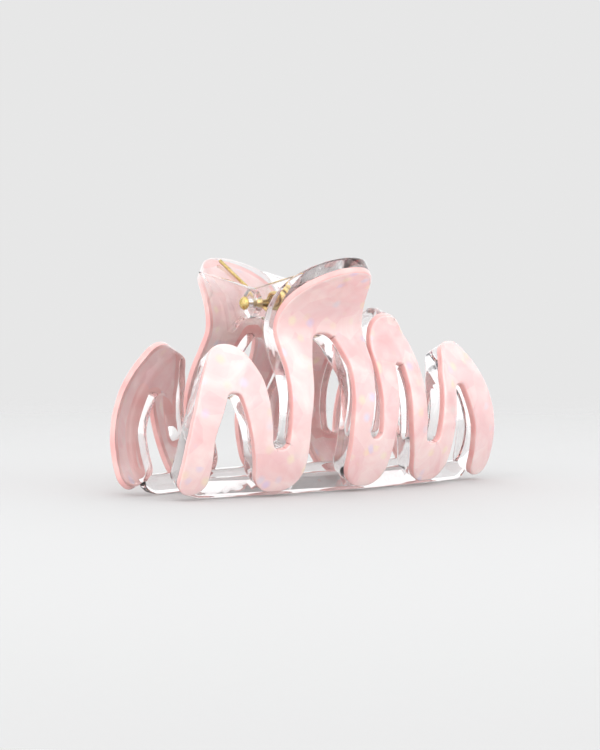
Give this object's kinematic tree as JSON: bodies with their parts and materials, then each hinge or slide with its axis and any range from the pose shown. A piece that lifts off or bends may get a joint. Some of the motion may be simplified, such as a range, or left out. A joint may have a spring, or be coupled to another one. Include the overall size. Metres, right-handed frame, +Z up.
{
  "type": "claw clip",
  "caption": "Large wavy acrylic hair claw clip: mirrored pink and clear laminated jaws on a sprung hinge with a metal pin.",
  "frame": {"origin": "on the ground under the middle of the clip, centre of its bounding box's bottom", "axes": "+X along the clip, parallel to the hinge pin; +Y from the front jaw to the back jaw; +Z up towards the handles"},
  "size_m": [0.093, 0.0486, 0.0509],
  "materials": {
    "clear_acrylic": "polished clear acrylic",
    "pink_acrylic": "polished pearl-marbled pink acrylic",
    "gold_plated_steel": "polished gold plating"
  },
  "bodies": {
    "back_jaw": {"back_jaw_clear": "clear_acrylic", "back_jaw_pink": "pink_acrylic", "hinge_pin": "gold_plated_steel", "torsion_spring": "gold_plated_steel"},
    "front_jaw": {"front_jaw_clear": "clear_acrylic", "front_jaw_pink": "pink_acrylic"}
  },
  "joints": [
    {"name": "jaw_hinge", "type": "hinge", "parent": "back_jaw", "child": "front_jaw", "pos_m": [-0.0085, 0, 0.0405], "axis": [-1, 0, 0], "range_deg": [0, 60], "stiffness_Nm_per_rad": 0.05, "springref_deg": -40.11, "deforming": ["torsion_spring"]}
  ]
}
